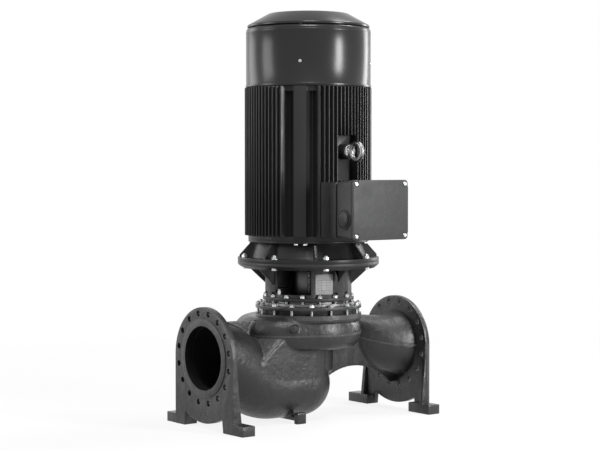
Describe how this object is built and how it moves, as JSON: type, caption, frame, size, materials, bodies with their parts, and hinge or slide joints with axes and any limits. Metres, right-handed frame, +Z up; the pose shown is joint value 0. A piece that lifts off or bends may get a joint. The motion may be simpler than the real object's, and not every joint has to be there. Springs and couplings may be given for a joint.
{
  "type": "in-line pump",
  "caption": "Upright single-stage in-line pump: flanged volute casing, windowed motor stool and a finned flange motor with a rain canopy.",
  "frame": {"origin": "centre of the four foundation holes at floor level, midway between the two port flanges", "axes": "+X along the pipe with the flow, from the suction flange to the discharge flange; +Z up along the shaft; -Y is the side of the terminal box"},
  "size_m": [1.4, 1.1337, 2.293],
  "materials": {
    "casing_iron": "satin",
    "stool_iron": "satin",
    "motor_paint": "satin",
    "cowl_paint": "satin",
    "fastener_steel": "satin",
    "shaft_steel": "polished",
    "plate_metal": "satin",
    "bronze": "satin",
    "core_steel": "matt",
    "winding": "gloss",
    "rubber": "matt",
    "seal_carbon": "satin",
    "fan_plastic": "matt",
    "board": "matt"
  },
  "bodies": {
    "housing": {"pump_casing": "casing_iron", "wear_ring": "bronze", "casing_plugs": "fastener_steel", "cover_o_ring": "rubber", "casing_cover": "casing_iron", "cover_studs": "fastener_steel", "cover_nuts": "fastener_steel", "seal_gland": "fastener_steel", "gland_screws": "fastener_steel", "seal_seat": "seal_carbon", "motor_stool": "stool_iron", "stool_studs": "fastener_steel", "stool_nuts": "fastener_steel", "nameplate": "plate_metal", "vent_body": "fastener_steel", "lower_shield": "motor_paint", "flange_bolts": "fastener_steel", "flange_nuts": "fastener_steel", "shield_bolts": "fastener_steel", "motor_frame": "motor_paint", "stator_core": "core_steel", "stator_winding": "winding", "upper_shield": "motor_paint", "upper_bolts": "fastener_steel", "lower_bearing_outer": "shaft_steel", "upper_bearing_outer": "shaft_steel", "lower_bearing_cap": "stool_iron", "upper_bearing_cap": "stool_iron", "fan_cover": "cowl_paint", "fan_cover_screws": "fastener_steel", "fan_canopy": "cowl_paint", "canopy_spacers": "fastener_steel", "eye_bolts": "fastener_steel", "terminal_box": "motor_paint", "box_gasket": "rubber", "box_lid": "motor_paint", "lid_screws": "fastener_steel", "terminal_board": "board", "entry_plug": "motor_paint", "earth_screw": "fastener_steel"},
    "rotor": {"motor_shaft": "shaft_steel", "rotor_core": "core_steel", "lower_bearing_inner": "shaft_steel", "upper_bearing_inner": "shaft_steel", "cooling_fan": "fan_plastic", "fan_clip": "fastener_steel", "coupling_halves": "motor_paint", "coupling_screws": "fastener_steel", "pump_shaft": "shaft_steel", "impeller": "bronze", "impeller_key": "fastener_steel", "impeller_nut": "fastener_steel", "seal_head": "shaft_steel", "seal_spring": "shaft_steel"},
    "lower_cage": {"lower_ball_cage": "bronze"},
    "upper_cage": {"upper_ball_cage": "bronze"},
    "vent_spindle": {"vent_screw": "bronze"}
  },
  "joints": [
    {"name": "rotor_spin", "type": "hinge", "parent": "housing", "child": "rotor", "pos_m": [0.022, 0, 0.77], "axis": [0, 0, 1], "continuous": true},
    {"name": "lower_cage_spin", "type": "hinge", "parent": "housing", "child": "lower_cage", "pos_m": [0.022, 0, 0.969], "axis": [0, 0, 1], "continuous": true},
    {"name": "upper_cage_spin", "type": "hinge", "parent": "housing", "child": "upper_cage", "pos_m": [0.022, 0, 1.9045], "axis": [0, 0, 1], "continuous": true},
    {"name": "vent_screw_turn", "type": "hinge", "parent": "housing", "child": "vent_spindle", "pos_m": [-0.21011, -0.03676, 0.73], "axis": [0, 0, 1], "range_deg": [0, 360]}
  ],
  "couplings": [
    {"joint": "lower_cage_spin", "follows": "rotor_spin", "ratio": 0.3886},
    {"joint": "upper_cage_spin", "follows": "rotor_spin", "ratio": 0.3932}
  ]
}
